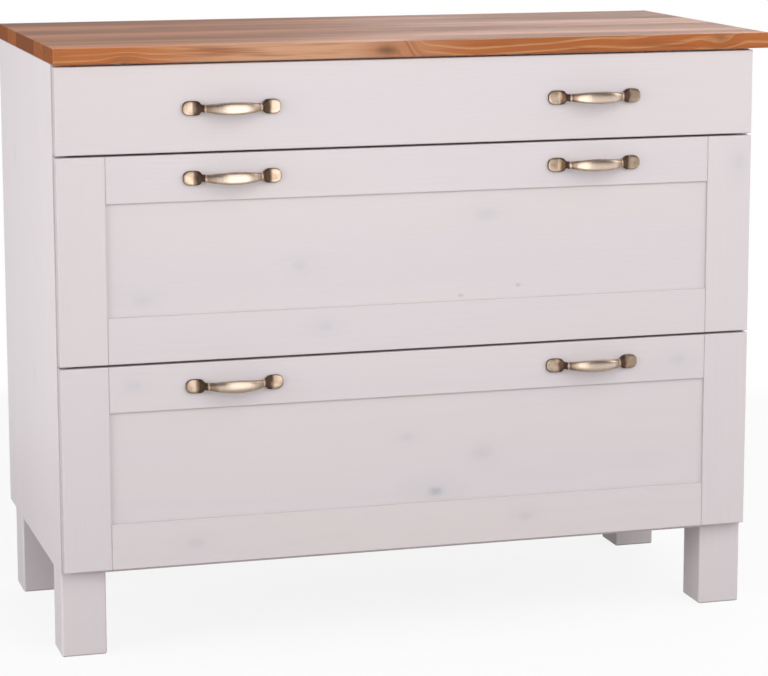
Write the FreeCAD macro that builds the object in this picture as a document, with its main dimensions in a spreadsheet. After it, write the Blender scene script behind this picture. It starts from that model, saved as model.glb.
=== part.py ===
import FreeCAD, Part
import math
import os
import re
import Sketcher

# Three-drawer chest of glazed pine with a honey-brown worktop.
# X runs to the right, Y to the back, Z up; the origin is the middle of the footprint, on the floor.

doc = FreeCAD.newDocument("Chest")

# Driving dimensions, in millimetres unless the name says otherwise
sizes = {
    "carcass_width": 1000,
    "carcass_depth": 458,
    "overall_height": 836,
    "board": 18,
    "top_thickness": 22,
    "top_overhang": 20,
    "top_edge_radius": 2,
    "leg_width": 62,
    "leg_height": 116,
    "leg_inset": 53,
    "leg_edge_radius": 3,
    "leg_foot_chamfer": 1.8,
    "back_thickness": 4,
    "back_inset": 1,
    "rebate_width": 9,
    "rail_depth": 80,
    "fit_gap": 0.1,
    "dowel_radius": 4,
    "dowel_in_side": 12,
    "dowel_in_end": 24,
    "dowel_margin": 62,
    "rail_dowel_margin": 20,
    "bolt_radius": 4,
    "bolt_in_leg": 45,
    "screw_radius": 2,
    "screw_head_radius": 4,
    "screw_head_height": 2.5,
    "top_screw_margin": 150,
    "top_screw_bite": 14,
    "front_thickness": 18,
    "front_clearance": 1,
    "front_reveal": 2,
    "front_rise": 7,
    "front_gap": 3,
    "front_edge_radius": 1.6,
    "top_front_height": 118,
    "stile_width": 66,
    "rail_width": 64,
    "panel_thickness": 7,
    "panel_recess": 3.5,
    "panel_groove": 9,
    "frame_edge_radius": 1.2,
    "box_depth": 400,
    "box_rise": 20,
    "box_board": 12,
    "box_edge_radius": 2,
    "top_box_headroom": 26,
    "deep_box_headroom": 62,
    "bottom_thickness": 5,
    "bottom_rise": 12,
    "bottom_groove": 6,
    "runner_space": 12.5,
    "runner_setback": 3,
    "sheet_gauge": 1.2,
    "channel_width": 10.4,
    "channel_lip": 3,
    "channel_cover": 9,
    "channel_drop": 3,
    "cover_notch": 32,
    "runner_hole_radius": 2.2,
    "runner_hole_margin": 60,
    "roller_radius": 8.5,
    "roller_width": 6,
    "roller_offset": 2.6,
    "roller_inset": 14,
    "roller_edge_chamfer": 0.8,
    "roll_gap": 0.3,
    "pin_radius": 2.5,
    "pin_clearance": 0.05,
    "pin_head_radius": 4.2,
    "pin_head_thickness": 0.8,
    "handle_spacing": 96,
    "handle_share": 0.241,
    "handle_projection": 28,
    "grip_height": 15,
    "grip_thickness": 8,
    "neck_height": 9.5,
    "neck_thickness": 7.5,
    "bow_power": 2.6,
    "collar_step": 1.1,
    "collar_length": 2.4,
    "collar_reach": 0.8,
    "foot_height": 20,
    "foot_thickness": 5,
    "foot_outreach": 20,
    "foot_shoulder": 1,
    "foot_inreach": 6,
    "foot_corner_radius": 7,
    "foot_edge_radius": 1.8,
    "handle_hole_depth": 4.2,
}

# Places worked out from the driving dimensions
layout = {
    "x_left": "-(carcass_width + top_overhang) / 2",
    "x_right": "x_left + carcass_width",
    "inner_left": "x_left + board",
    "inner_right": "x_right - board",
    "inner_width": "carcass_width - 2 * board",
    "y_face": "(handle_projection - front_thickness - front_clearance - carcass_depth) / 2",
    "y_front": "y_face + front_thickness + front_clearance",
    "y_back": "y_front + carcass_depth",
    "inner_depth": "carcass_depth - back_inset - back_thickness",
    "z_under": "overall_height - top_thickness",
    "side_height": "z_under - leg_height",
    "front_left": "x_left + front_reveal",
    "front_width": "carcass_width - 2 * front_reveal",
    "frame_width": "front_width - 2 * stile_width",
    "groove_thickness": "panel_thickness + 2 * fit_gap",
    "groove_start": "panel_recess - fit_gap",
    "tongue": "panel_groove - fit_gap",
    "bottom_z": "leg_height + front_rise",
    "deep_front_height": "(z_under - 3 * front_gap - top_front_height - bottom_z) / 2",
    "middle_z": "bottom_z + deep_front_height + front_gap",
    "top_z": "middle_z + deep_front_height + front_gap",
    "top_box_height": "top_front_height - box_rise - top_box_headroom",
    "deep_box_height": "deep_front_height - box_rise - deep_box_headroom",
    "box_left": "inner_left + runner_space",
    "box_width": "inner_width - 2 * runner_space",
    "box_inside": "box_width - 2 * box_board",
    "y_box": "y_face + front_thickness",
    "bottom_width": "box_inside + 2 * (bottom_groove - fit_gap)",
    "bottom_slot": "bottom_thickness + 2 * fit_gap",
    "runner_length": "box_depth",
    "y_runner": "y_front + runner_setback",
    "channel_height": "2 * roller_radius + 2 * roll_gap",
    "wing_height": "channel_height + sheet_gauge + roll_gap",
    "front_roller_z": "wing_height - roll_gap - roller_radius",
    "rear_roller_z": "roll_gap + roller_radius",
    "rear_roller_y": "y_box + box_depth - roller_inset",
    "front_roller_y": "y_runner + roller_inset",
    "roller_end": "roller_offset + roller_width",
    "handle_left": "x_left + carcass_width * handle_share",
    "handle_right": "x_right - carcass_width * handle_share",
    "top_rail_z": "z_under - board",
}

sheet = doc.addObject("Spreadsheet::Sheet", "Sizes")
for row, (name, number) in enumerate(sizes.items(), start=1):
    sheet.set(f"A{row}", name)
    sheet.set(f"B{row}", str(number))
    sheet.setAlias(f"B{row}", name)

places = doc.addObject("Spreadsheet::Sheet", "Places")


def linked(text):
    """Turns the plain names in a formula into references to the two sheets."""

    def reference(word):
        name = word.group(0)
        if name in sizes:
            return "Sizes." + name
        return "Places." + name if name in layout else name

    return re.sub(r"[a-z_]\w*", reference, str(text))


for row, (name, formula) in enumerate(layout.items(), start=1):
    places.set(f"A{row}", name)
    places.set(f"B{row}", "=" + linked(formula).replace("Places.", ""))
    places.setAlias(f"B{row}", name)
doc.recompute()

pieces = []
near = 1e-4


def value(text):
    return float(sheet.evalExpression(linked(text)))


def bind(target, prop, text):
    target.setExpression(prop, linked(text))


def place(target, x="0", y="0", z="0"):
    for axis, text in zip("xyz", (x, y, z)):
        bind(target, f"Placement.Base.{axis}", text)


def new_body(label):
    body = doc.addObject("PartDesign::Body", label)
    body.Label = label
    return body


def keep(target):
    pieces.append(target)
    return target


def new_sketch(body, plane, offset="0"):
    support = next(p for p in body.Origin.OriginFeatures if p.Role == plane)
    sketch = body.newObject("Sketcher::SketchObject", body.Label + "_sketch")
    sketch.AttachmentSupport = (support, [""])
    sketch.MapMode = "FlatFace"
    bind(sketch, "AttachmentOffset.Base.z", offset)
    return sketch


def fix_point(sketch, geometry, point, x, y):
    for kind, text in (("DistanceX", x), ("DistanceY", y)):
        index = sketch.addConstraint(Sketcher.Constraint(kind, -1, 1, geometry, point, value(text)))
        bind(sketch, f"Constraints[{index}]", text)


def draw_polygon(sketch, corners):
    vectors = [FreeCAD.Vector(value(x), value(y), 0) for x, y in corners]
    count = len(corners)
    for start in range(count):
        sketch.addGeometry(Part.LineSegment(vectors[start], vectors[(start + 1) % count]))
    for line in range(count):
        sketch.addConstraint(Sketcher.Constraint("Coincident", line, 2, (line + 1) % count, 1))
    for line, (x, y) in enumerate(corners):
        fix_point(sketch, line, 1, x, y)
    return sketch


def rectangle(x0, y0, x1, y1):
    return [(x0, y0), (x1, y0), (x1, y1), (x0, y1)]


def draw_circles(sketch, centres, radius):
    for x, y in centres:
        middle = FreeCAD.Vector(value(x), value(y), 0)
        circle = sketch.addGeometry(Part.Circle(middle, FreeCAD.Vector(0, 0, 1), value(radius)))
        fix_point(sketch, circle, 3, x, y)
        index = sketch.addConstraint(Sketcher.Constraint("Radius", circle, value(radius)))
        bind(sketch, f"Constraints[{index}]", radius)
    return sketch


def pad(body, sketch, length, backwards=False):
    feature = body.newObject("PartDesign::Pad", body.Label + "_pad")
    feature.Profile = sketch
    bind(feature, "Length", length)
    feature.Reversed = backwards
    return feature


def pocket(body, sketch, depth, backwards=False):
    doc.recompute()
    before = body.Shape.Volume
    feature = body.newObject("PartDesign::Pocket", body.Label + "_pocket")
    feature.Profile = sketch
    bind(feature, "Length", depth)
    feature.Reversed = backwards
    doc.recompute()
    if body.Shape.Volume > before - near:
        raise RuntimeError(f"{body.Label}: a pocket cuts nothing")
    return feature


def dress(body, kind, prop, size, chosen):
    """Fillets or chamfers the edges of the body's tip that the test picks out."""
    doc.recompute()
    base = body.Tip
    names = [f"Edge{i}" for i, edge in enumerate(base.Shape.Edges, start=1) if chosen(edge.BoundBox)]
    if not names:
        raise RuntimeError(f"{body.Label}: no edge to dress")
    feature = body.newObject(kind, body.Label + "_edges")
    feature.Base = (base, names)
    bind(feature, prop, size)
    return feature


def fillet(body, size, chosen):
    return dress(body, "PartDesign::Fillet", "Radius", size, chosen)


def board_body(label, x, y, z, length, depth, height):
    """A plain board with its low corner at x, y, z."""
    body = new_body(label)
    pad(body, draw_polygon(new_sketch(body, "XY_Plane"), rectangle("0", "0", length, depth)), height)
    place(body, x, y, z)
    return keep(body)


def rods(label, radius, length, direction, starts):
    """Round rods that share one node, each from its start along a direction."""
    made = []
    for x, y, z in starts:
        rod = doc.addObject("Part::Cylinder", label + "_rod")
        bind(rod, "Radius", radius)
        bind(rod, "Height", length)
        rod.Placement.Rotation = FreeCAD.Rotation(FreeCAD.Vector(0, 0, 1), direction)
        place(rod, x, y, z)
        made.append(rod)
    return made


def group(label, members):
    compound = doc.addObject("Part::Compound", label)
    compound.Label = label
    compound.Links = members
    return keep(compound)


along_x = FreeCAD.Vector(1, 0, 0)
along_y = FreeCAD.Vector(0, 1, 0)
along_z = FreeCAD.Vector(0, 0, 1)


# Carcass boards

def make_worktop():
    body = board_body("worktop", "x_left", "y_face", "z_under",
                      "carcass_width + top_overhang", "y_back - y_face", "top_thickness")
    holes = [(f"{x} - x_left", f"{y} - y_face") for x, y in top_screw_places]
    pocket(body, draw_circles(new_sketch(body, "XY_Plane"), holes, "screw_radius + fit_gap"),
           "top_screw_bite + fit_gap", True)
    length = value("carcass_width + top_overhang")
    depth = value("y_back - y_face")

    def outer(box):
        flat = box.ZLength < near
        front = box.YMax < near
        ends = box.XMax < near or box.XMin > length - near
        at_back = box.YMin > depth - near
        return (flat or not at_back) and (front or ends)

    fillet(body, "top_edge_radius", outer)


def make_side(label, side, x):
    """A side panel; its rear inner edge is rebated for the back panel."""
    inner = "board" if side > 0 else "0"
    outer = "0" if side > 0 else "board"
    step = f"{inner} - {side} * rebate_width"
    rebate_y = "inner_depth - fit_gap"
    corners = [(outer, "0"), (inner, "0"), (inner, rebate_y), (step, rebate_y),
               (step, "carcass_depth"), (outer, "carcass_depth")]
    body = new_body(label)
    pad(body, draw_polygon(new_sketch(body, "XY_Plane"), corners), "side_height")
    holes = [(y, f"{z} - leg_height") for y, z in end_dowel_places]
    pocket(body, draw_circles(new_sketch(body, "YZ_Plane", inner), holes, "dowel_radius + fit_gap"),
           "dowel_in_side + fit_gap", side < 0)
    face = value(outer)
    fillet(body, "frame_edge_radius",
           lambda box: abs(box.XMin - face) < near and box.XLength < near and box.YMax < near)
    place(body, x, "y_front", "leg_height")
    return keep(body)


def end_holes(body, length, holes):
    """Blind dowel holes in both ends of a board that lies along X."""
    for offset, backwards in (("0", True), (length, False)):
        sketch = draw_circles(new_sketch(body, "YZ_Plane", offset), holes, "dowel_radius + fit_gap")
        pocket(body, sketch, "dowel_in_end + fit_gap", backwards)


def make_bottom():
    body = board_body("bottom_panel", "inner_left", "y_front", "leg_height",
                      "inner_width", "inner_depth", "board")
    end_holes(body, "inner_width", [(y, "board / 2") for y in bottom_dowel_rows])
    holes = [(f"{x} - inner_left", f"{y} - y_front") for x, y in leg_centres]
    pocket(body, draw_circles(new_sketch(body, "XY_Plane"), holes, "bolt_radius + fit_gap"), "board", True)


def make_rail(label, y, rows):
    """A top rail laid flat between the sides, with screw holes up into the worktop."""
    body = board_body(label, "inner_left", y, "top_rail_z", "inner_width", "rail_depth", "board")
    end_holes(body, "inner_width", [(row, "board / 2") for row in rows])
    holes = [(f"{x} - inner_left", "rail_depth / 2") for x in top_screw_columns]
    pocket(body, draw_circles(new_sketch(body, "XY_Plane"), holes, "screw_radius + fit_gap"), "board", True)


def make_back():
    margin = "(rebate_width - fit_gap)"
    board_body("back_panel", f"inner_left - {margin}", "y_back - back_inset - back_thickness", "leg_height",
               f"inner_width + 2 * {margin}", "back_thickness", "side_height - fit_gap")


def make_leg(label, x, y):
    """A square leg with softened corners and a chamfered foot, drilled for its hanger bolt."""
    body = new_body(label)
    square = rectangle("0", "0", "leg_width", "leg_width")
    pad(body, draw_polygon(new_sketch(body, "XY_Plane"), square), "leg_height")
    middle = [("leg_width / 2", "leg_width / 2")]
    hole = draw_circles(new_sketch(body, "XY_Plane", "leg_height"), middle, "bolt_radius + fit_gap")
    pocket(body, hole, "bolt_in_leg + fit_gap")
    height = value("leg_height")
    fillet(body, "leg_edge_radius", lambda box: box.ZLength > height - near)
    dress(body, "PartDesign::Chamfer", "Size", "leg_foot_chamfer", lambda box: box.ZMax < near)
    place(body, x, y)
    return keep(body)


leg_columns = {"left": "x_left", "right": "x_right - leg_width"}
leg_rows = {"front": "y_front", "rear": "y_back - leg_inset - leg_width"}
leg_places = {f"leg_{row}_{column}": (x, y)
              for row, y in leg_rows.items() for column, x in leg_columns.items()}
leg_centres = [(f"({x} + leg_width / 2)", f"({y} + leg_width / 2)") for x, y in leg_places.values()]

top_screw_columns = ["(inner_left + top_screw_margin)", "(inner_right - top_screw_margin)"]
rail_places = {"top_rail_front": "y_front", "top_rail_rear": "(y_front + inner_depth - rail_depth)"}
top_screw_places = [(x, f"({y} + rail_depth / 2)") for x in top_screw_columns for y in rail_places.values()]

bottom_dowel_rows = ["dowel_margin", "inner_depth / 2", "(inner_depth - dowel_margin)"]
rail_dowel_rows = ["rail_dowel_margin", "(rail_depth - rail_dowel_margin)"]
end_dowel_places = [(y, "(leg_height + board / 2)") for y in bottom_dowel_rows]
end_dowel_places += [(f"({y} - y_front + {row})", "(top_rail_z + board / 2)")
                     for y in rail_places.values() for row in rail_dowel_rows]

make_worktop()
make_side("side_panel_left", 1, "x_left")
make_side("side_panel_right", -1, "inner_right")
make_bottom()
for rail, y in rail_places.items():
    make_rail(rail, y, rail_dowel_rows)
make_back()
for leg, (x, y) in leg_places.items():
    make_leg(leg, x, y)

# Fasteners of the carcass

group("leg_bolts", rods("leg_bolt", "bolt_radius", "bolt_in_leg + board - fit_gap", along_z,
                        [(x, y, "leg_height - bolt_in_leg") for x, y in leg_centres]))

dowel_length = "dowel_in_side + dowel_in_end"
dowel_starts = [(x, f"y_front + {y}", z) for y, z in end_dowel_places
                for x in ("inner_left - dowel_in_side", "inner_right - dowel_in_end")]
group("carcass_dowels", rods("dowel", "dowel_radius", dowel_length, along_x, dowel_starts))


def make_screws(label, direction, starts, shank):
    """Pan-head screws: each has its head at the start, with the shank along the direction."""
    heads = [[f"{start} - {part} * screw_head_height" for start, part in zip(point, direction)]
             for point in starts]
    screws = []
    shanks = rods(label, "screw_radius", shank, direction, starts)
    for head, rod in zip(rods(label, "screw_head_radius", "screw_head_height", direction, heads), shanks):
        screw = doc.addObject("Part::Fuse", label + "_screw")
        screw.Base = head
        screw.Tool = rod
        screws.append(screw)
    return group(label, screws)


make_screws("worktop_screws", along_z, [(x, y, "top_rail_z") for x, y in top_screw_places],
            "board + top_screw_bite")


# Drawer fronts

def front_edges(box):
    return box.YMax < near


def outline_edges(box):
    """The long straight edges of a front's face, without the rims of its holes."""
    return front_edges(box) and max(box.XLength, box.ZLength) > value("front_thickness")


def handle_holes(body, x_zero, z):
    """Screw holes for two handles, right through a front or rail whose left end is at x_zero."""
    holes = [(f"{x} - ({x_zero})", z) for x in handle_screw_columns]
    sketch = draw_circles(new_sketch(body, "XZ_Plane"), holes, "screw_radius + fit_gap")
    pocket(body, sketch, "front_thickness")


def bottom_slot(body, x0, x1):
    """The groove behind a front that takes the front edge of the drawer bottom."""
    low = "box_rise + bottom_rise - fit_gap"
    sketch = new_sketch(body, "XZ_Plane", "-front_thickness")
    draw_polygon(sketch, rectangle(x0, low, x1, low + " + bottom_slot"))
    pocket(body, sketch, "bottom_groove", True)


def make_slab(label, z):
    body = board_body(label, "front_left", "y_face", z,
                      "front_width", "front_thickness", "top_front_height")
    handle_holes(body, "front_left", "top_front_height / 2")
    inset = "(box_left - front_left + box_board - bottom_groove)"
    bottom_slot(body, inset, f"front_width - {inset}")
    fillet(body, "front_edge_radius", outline_edges)


def make_stile(label, side, x, z):
    """An upright of a framed front, grooved along its inner edge for the panel and the tongues."""
    inner = "stile_width" if side > 0 else "0"
    outer = "0" if side > 0 else "stile_width"
    step = f"{inner} - {side} * panel_groove"
    groove_end = "groove_start + groove_thickness"
    corners = [(outer, "0"), (inner, "0"), (inner, "groove_start"), (step, "groove_start"),
               (step, groove_end), (inner, groove_end),
               (inner, "front_thickness"), (outer, "front_thickness")]
    body = new_body(label)
    pad(body, draw_polygon(new_sketch(body, "XY_Plane"), corners), "deep_front_height")
    reach = "(box_left - front_left + box_board - bottom_groove)"
    slot_end = reach if side > 0 else f"stile_width - {reach}"
    bottom_slot(body, slot_end if side > 0 else inner, inner if side > 0 else slot_end)
    fillet(body, "frame_edge_radius", front_edges)
    place(body, x, "y_face", z)
    return keep(body)


def make_front_rail(label, upper, z):
    """A rail of a framed front: grooved towards the panel, with a tongue at each end for the stiles."""
    lip = "0" if upper else "rail_width"
    rim = "rail_width" if upper else "0"
    step = "panel_groove" if upper else "rail_width - panel_groove"
    groove_end = "groove_start + groove_thickness"
    corners = [("0", rim), ("0", lip), ("groove_start", lip), ("groove_start", step),
               (groove_end, step), (groove_end, lip), ("front_thickness", lip), ("front_thickness", rim)]
    body = new_body(label)
    pad(body, draw_polygon(new_sketch(body, "YZ_Plane"), corners), "frame_width")
    tongue_end = "panel_recess + panel_thickness"
    section = rectangle("panel_recess", step, tongue_end, rim)
    pad(body, draw_polygon(new_sketch(body, "YZ_Plane", "-tongue"), section), "frame_width + 2 * tongue")
    if upper:
        handle_holes(body, "front_left + stile_width", "rail_width / 2")
    else:
        bottom_slot(body, "-tongue", "frame_width + tongue")
    fillet(body, "frame_edge_radius", outline_edges)
    place(body, "front_left + stile_width", "y_face", z)
    return keep(body)


def make_panel(label, z):
    """The flat panel, held loose in the grooves of its frame."""
    x = "front_left + stile_width - tongue"
    board_body(label, x, "y_face + panel_recess", f"{z} + rail_width - tongue", "frame_width + 2 * tongue",
               "panel_thickness", "deep_front_height - 2 * rail_width + 2 * tongue")


handle_columns = ["handle_left", "handle_right"]
handle_screw_columns = [f"{x} + {half} * handle_spacing / 2" for x in handle_columns for half in (-1, 1)]
make_slab("front_top", "top_z")
for name in ("middle", "bottom"):
    z = f"{name}_z"
    make_stile(f"front_{name}_stile_left", 1, "front_left", z)
    make_stile(f"front_{name}_stile_right", -1, "front_left + front_width - stile_width", z)
    make_front_rail(f"front_{name}_rail_top", True, f"{z} + deep_front_height - rail_width")
    make_front_rail(f"front_{name}_rail_bottom", False, z)
    make_panel(f"front_{name}_panel", z)


# Drawer boxes

def make_box_side(label, side, x, z, height):
    """A drawer side with its rounded top edge and the groove for the bottom."""
    inner = "box_board" if side > 0 else "0"
    outer = "0" if side > 0 else "box_board"
    step = f"{inner} - {side} * bottom_groove"
    low = "bottom_rise - fit_gap"
    high = low + " + bottom_slot"
    corners = [(outer, "0"), (inner, "0"), (inner, low), (step, low), (step, high), (inner, high),
               (inner, height), (outer, height)]
    body = new_body(label)
    pad(body, draw_polygon(new_sketch(body, "XZ_Plane"), corners), "box_depth", True)
    top = value(height)
    fillet(body, "box_edge_radius", lambda box: box.ZMin > top - near and box.YLength > near)
    place(body, x, "y_box", z)
    return keep(body)


def make_box(name, height):
    z = f"{name}_z + box_rise"
    make_box_side(f"drawer_{name}_side_left", 1, "box_left", z, height)
    make_box_side(f"drawer_{name}_side_right", -1, "box_left + box_width - box_board", z, height)
    floor = "bottom_rise + bottom_thickness + fit_gap"
    back_height = f"{height} - box_edge_radius - ({floor})"
    board_body(f"drawer_{name}_back", "box_left + box_board", "y_box + box_depth - box_board",
               f"{z} + {floor}", "box_inside", "box_board", back_height)
    board_body(f"drawer_{name}_bottom", "box_left + box_board - bottom_groove + fit_gap",
               "y_box - bottom_groove + fit_gap", f"{z} + bottom_rise",
               "bottom_width", "box_depth + bottom_groove - fit_gap", "bottom_thickness")


make_box("top", "top_box_height")
make_box("middle", "deep_box_height")
make_box("bottom", "deep_box_height")


# Roller runners: a channel on each side panel, a winged profile under each drawer side, their rollers

def make_channel(side):
    """The cabinet half: a channel open towards the drawer, its cover notched in front for the roller."""
    body = new_body("channel")
    floor = [("0", "-sheet_gauge"), ("channel_width", "-sheet_gauge"), ("channel_width", "channel_lip"),
             ("channel_width - sheet_gauge", "channel_lip"), ("channel_width - sheet_gauge", "0"),
             ("sheet_gauge", "0"), ("sheet_gauge", "channel_height"), ("channel_cover", "channel_height"),
             ("channel_cover", "channel_height + sheet_gauge"), ("0", "channel_height + sheet_gauge")]
    profile = [(f"{side} * ({x})", z) for x, z in floor]
    pad(body, draw_polygon(new_sketch(body, "XZ_Plane"), profile), "runner_length", True)
    notch = rectangle(f"{side} * sheet_gauge", "0", f"{side} * channel_cover", "cover_notch")
    cover = new_sketch(body, "XY_Plane", "channel_height + sheet_gauge")
    pocket(body, draw_polygon(cover, notch), "sheet_gauge")
    holes = [("runner_hole_margin", "channel_height / 2"),
             ("runner_length - runner_hole_margin", "channel_height / 2")]
    drilled = draw_circles(new_sketch(body, "YZ_Plane"), holes, "runner_hole_radius")
    pocket(body, drilled, "sheet_gauge", side > 0)
    axis = [("roller_inset", "front_roller_z")]
    pin = draw_circles(new_sketch(body, "YZ_Plane"), axis, "pin_radius")
    pad(body, pin, "roller_end + roll_gap", side < 0)
    pin_end = new_sketch(body, "YZ_Plane", f"{side} * (roller_end + roll_gap)")
    pad(body, draw_circles(pin_end, axis, "pin_head_radius"), "pin_head_thickness", side < 0)
    return body


def make_wing(side):
    """The drawer half: a foot under the drawer side, a web against it and a wing over the front roller."""
    body = new_body("wing")
    drop = "channel_drop"
    bend = [("runner_space + box_board - sheet_gauge", f"{drop} - sheet_gauge"),
            ("runner_space + box_board - sheet_gauge", drop),
            ("runner_space", drop), ("runner_space", "wing_height + sheet_gauge"),
            ("roller_offset", "wing_height + sheet_gauge"), ("roller_offset", "wing_height"),
            ("runner_space - sheet_gauge", "wing_height"),
            ("runner_space - sheet_gauge", f"{drop} - sheet_gauge")]
    profile = [(f"{side} * ({x})", z) for x, z in bend]
    pad(body, draw_polygon(new_sketch(body, "XZ_Plane"), profile), "box_depth", True)
    axis = [("box_depth - roller_inset", "rear_roller_z")]
    web = f"{side} * runner_space"
    pin = draw_circles(new_sketch(body, "YZ_Plane", web), axis, "pin_radius")
    pad(body, pin, "runner_space - roller_offset + roll_gap", side > 0)
    pin_end = new_sketch(body, "YZ_Plane", f"{side} * (roller_offset - roll_gap)")
    pad(body, draw_circles(pin_end, axis, "pin_head_radius"), "pin_head_thickness", side > 0)
    return body


def make_roller(side):
    """A nylon roller on its pin, with the edges of its tread broken."""
    body = new_body("roller")
    sketch = new_sketch(body, "YZ_Plane", f"{side} * roller_offset")
    draw_circles(sketch, [("0", "0")], "roller_radius")
    draw_bore(sketch, "pin_radius + pin_clearance")
    pad(body, sketch, "roller_width", side < 0)
    rim = value("roller_radius")
    dress(body, "PartDesign::Chamfer", "Size", "roller_edge_chamfer",
          lambda box: box.XLength < near and box.YLength > 2 * rim - near)
    return body


def draw_bore(sketch, radius):
    """A second circle on the centre of the first."""
    circle = sketch.addGeometry(Part.Circle(FreeCAD.Vector(), along_z, value(radius)))
    sketch.addConstraint(Sketcher.Constraint("Coincident", circle, 3, 0, 3))
    index = sketch.addConstraint(Sketcher.Constraint("Radius", circle, value(radius)))
    bind(sketch, f"Constraints[{index}]", radius)


def pair(label, make, y, z):
    """The left and right halves of a runner, or its two rollers, in one node."""
    halves = []
    for side, x in ((1, "inner_left"), (-1, "inner_right")):
        half = make(side)
        place(half, x, y, z)
        halves.append(half)
    return group(label, halves)


for name in ("top", "middle", "bottom"):
    floor = f"{name}_z + box_rise - channel_drop"
    pair(f"cabinet_runners_{name}", make_channel, "y_runner", floor)
    pair(f"drawer_runners_{name}", make_wing, "y_box", floor)
    pair(f"cabinet_rollers_{name}", make_roller, "front_roller_y", f"{floor} + front_roller_z")
    pair(f"drawer_rollers_{name}", make_roller, "rear_roller_y", f"{floor} + rear_roller_z")


# Cast bow handles

bow_steps = [-1, -0.86, -0.7, -0.5, -0.25, 0, 0.25, 0.5, 0.7, 0.86, 1]


def make_section(step, swell="0"):
    """An upright oval across the bow at a step from -1 to 1 along it, square to the bow's line."""
    oval = doc.addObject("Part::Ellipse", "bow_section")
    reach = abs(step)
    half_span = "handle_spacing / 2"
    rise = "(handle_projection - grip_thickness / 2)"
    slope = f"{rise} * bow_power * {reach} ^ (bow_power - 1) / ({half_span})"
    turn = math.copysign(1, step)
    for prop, name in (("MajorRadius", "height"), ("MinorRadius", "thickness")):
        bind(oval, prop, f"(grip_{name} + (neck_{name} - grip_{name}) * {reach} ^ 2) / 2 + {swell}")
    x = linked(f"{step} * {half_span}")
    y = linked(f"-({rise}) * (1 - {reach} ^ bow_power)")
    yaw = linked(f"{turn} * atan({slope})")
    oval.setExpression("Placement", f"create(<<placement>>; create(<<vector>>; {x}; {y}; 0); "
                                    f"create(<<rotation>>; {yaw}; -90; 180))")
    return oval


def make_loft(name, sections, ruled):
    loft = doc.addObject("Part::Loft", name)
    loft.Sections = sections
    loft.Solid = True
    loft.Ruled = ruled
    return loft


def make_foot(side):
    """A foot plate with a rounded outer end, drawn in at the shoulder to the neck."""
    body = new_body("handle_foot")
    outer = f"{side} * (handle_spacing / 2 + foot_outreach)"
    shoulder = f"{side} * (handle_spacing / 2 - foot_shoulder)"
    inner = f"{side} * (handle_spacing / 2 - foot_inreach)"
    upper = [(inner, "neck_height / 2"), (shoulder, "foot_height / 2"), (outer, "foot_height / 2")]
    lower = [(x, f"-({z})") for x, z in reversed(upper)]
    pad(body, draw_polygon(new_sketch(body, "XZ_Plane"), upper + lower), "foot_thickness")
    reach = abs(value(outer)) - near
    fillet(body, "foot_corner_radius",
           lambda box: box.YLength > near and min(abs(box.XMin), abs(box.XMax)) > reach)
    face = value("foot_thickness")
    fillet(body, "foot_edge_radius", lambda box: box.YMax < near - face)
    return body


def make_handle():
    """One cast handle, its feet on the plane y = 0 and its bow towards -Y."""
    bow = make_loft("bow", [make_section(step) for step in bow_steps], False)
    half_collar = value("collar_length / handle_spacing")
    reach = value("collar_reach")
    collars = []
    for side in (-1, 1):
        steps = [side * (reach - half_collar), side * reach, side * (reach + half_collar)]
        swells = ["collar_step / 2", "collar_step", "collar_step / 2"]
        collars.append(make_loft("collar", [make_section(s, w) for s, w in zip(steps, swells)], True))
    cast = doc.addObject("Part::MultiFuse", "handle_cast")
    cast.Shapes = [bow, make_foot(-1), make_foot(1), *collars]
    starts = [(f"{side} * handle_spacing / 2", "-handle_hole_depth", "0") for side in (-1, 1)]
    wall = doc.addObject("Part::Box", "front_plane")
    bind(wall, "Length", "2 * handle_spacing")
    bind(wall, "Width", "handle_projection")
    bind(wall, "Height", "2 * foot_height")
    place(wall, "-handle_spacing", "0", "-foot_height")
    cut = doc.addObject("Part::Cut", "handle_flat")
    cut.Base = cast
    cut.Tool = wall
    for hole in rods("handle_hole", "screw_radius + fit_gap", "handle_hole_depth", along_y, starts):
        drilled = doc.addObject("Part::Cut", "handle_drilled")
        drilled.Base = cut
        drilled.Tool = hole
        cut = drilled
    return cut


handle = make_handle()
handle_heights = {"top": "top_z + top_front_height / 2",
                  "middle": "middle_z + deep_front_height - rail_width / 2",
                  "bottom": "bottom_z + deep_front_height - rail_width / 2"}
for name, z in handle_heights.items():
    for side, x in zip(("left", "right"), handle_columns):
        node = group(f"handle_{name}_{side}", [handle])
        place(node, x, "y_face", z)
    starts = [(x, "y_box", z) for x in handle_screw_columns]
    make_screws(f"handle_screws_{name}", -along_y, starts, "front_thickness + handle_hole_depth - fit_gap")

doc.recompute()

for item in doc.Objects:
    if "Invalid" in item.State or "Error" in item.State:
        raise RuntimeError(f"{item.Label} failed: {item.State}")
for piece in pieces:
    if piece.Shape.isNull() or not piece.Shape.isValid() or not piece.Shape.Solids:
        raise RuntimeError(f"{piece.Label} has no valid solid")

os.makedirs("parts", exist_ok=True)
for piece in pieces:
    piece.Shape.exportStep(f"parts/{piece.Label}.step")
print(f"{len(pieces)} pieces written")
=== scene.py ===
import math

import bmesh
import bpy
from mathutils import Matrix, Vector


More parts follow.
